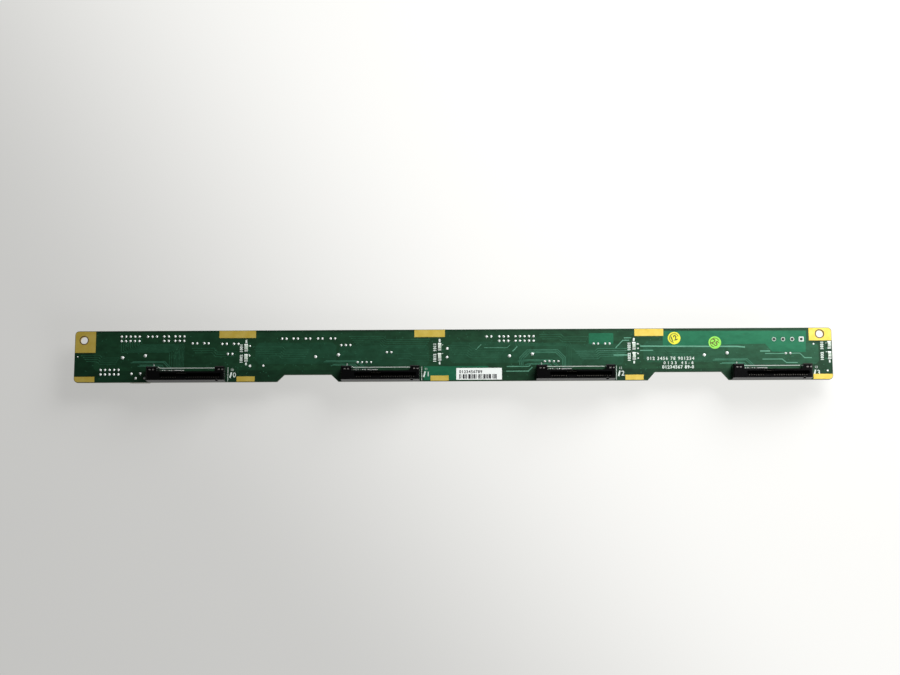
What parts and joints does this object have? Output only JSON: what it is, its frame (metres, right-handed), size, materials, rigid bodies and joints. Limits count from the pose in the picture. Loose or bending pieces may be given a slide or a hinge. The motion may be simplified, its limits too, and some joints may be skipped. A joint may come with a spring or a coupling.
{
  "type": "drive backplane board",
  "caption": "Long green drive backplane board with a row of drive connectors along one edge, gold edge lands, status lamps, and headers and capacitors on its rear side.",
  "frame": {"origin": "centre of the board's outline, level with the tips of the tallest rear parts it lies on", "axes": "+X runs along the board from the first bay to the last, +Y from the connector edge to the far edge, +Z out of the drive side"},
  "size_m": [0.4264, 0.0294, 0.0213],
  "materials": {
    "solder_mask": "satin green solder mask",
    "gold": "gold plated",
    "connector_plastic": "moulded black",
    "natural_plastic": "moulded natural",
    "solder": "bright solder",
    "tin": "tin plated",
    "capacitor_sleeve": "shrunk sleeve",
    "lamp": "clear lens",
    "label": "printed film",
    "yellow_paper": "printed paper",
    "green_paper": "printed paper"
  },
  "bodies": {
    "root": {"activity_lamp_0": "lamp", "activity_lamp_1": "lamp", "activity_lamp_2": "lamp", "activity_lamp_3": "lamp", "barcode_label": "label", "board_locks_0": "solder", "board_locks_1": "solder", "board_locks_2": "solder", "board_locks_3": "solder", "capacitors": "capacitor_sleeve", "circuit_board": "solder_mask", "data_contacts_0": "gold", "data_contacts_1": "gold", "data_contacts_2": "gold", "data_contacts_3": "gold", "data_header_0": "connector_plastic", "data_header_1": "connector_plastic", "data_header_2": "connector_plastic", "data_header_3": "connector_plastic", "drive_connector_0": "connector_plastic", "drive_connector_1": "connector_plastic", "drive_connector_2": "connector_plastic", "drive_connector_3": "connector_plastic", "edge_lands": "gold", "fault_lamp_0": "lamp", "fault_lamp_1": "lamp", "fault_lamp_2": "lamp", "fault_lamp_3": "lamp", "green_sticker": "green_paper", "header_pins": "tin", "lamp_solder": "solder", "locking_header_four_way": "connector_plastic", "locking_header_three_way": "connector_plastic", "pin_header_one_by_two": "connector_plastic", "pin_header_two_by_five": "connector_plastic", "pin_header_two_by_three": "connector_plastic", "pin_header_two_by_two": "connector_plastic", "power_contacts_0": "gold", "power_contacts_1": "gold", "power_contacts_2": "gold", "power_contacts_3": "gold", "power_inlet": "natural_plastic", "power_inlet_pins": "tin", "rear_tails_0": "solder", "rear_tails_1": "solder", "rear_tails_2": "solder", "rear_tails_3": "solder", "second_contacts_0": "gold", "second_contacts_1": "gold", "second_contacts_2": "gold", "second_contacts_3": "gold", "signal_contacts_0": "gold", "signal_contacts_1": "gold", "signal_contacts_2": "gold", "signal_contacts_3": "gold", "solder_joints": "solder", "staggered_header": "natural_plastic", "staggered_header_pins": "tin", "yellow_sticker": "yellow_paper"}
  },
  "joints": []
}
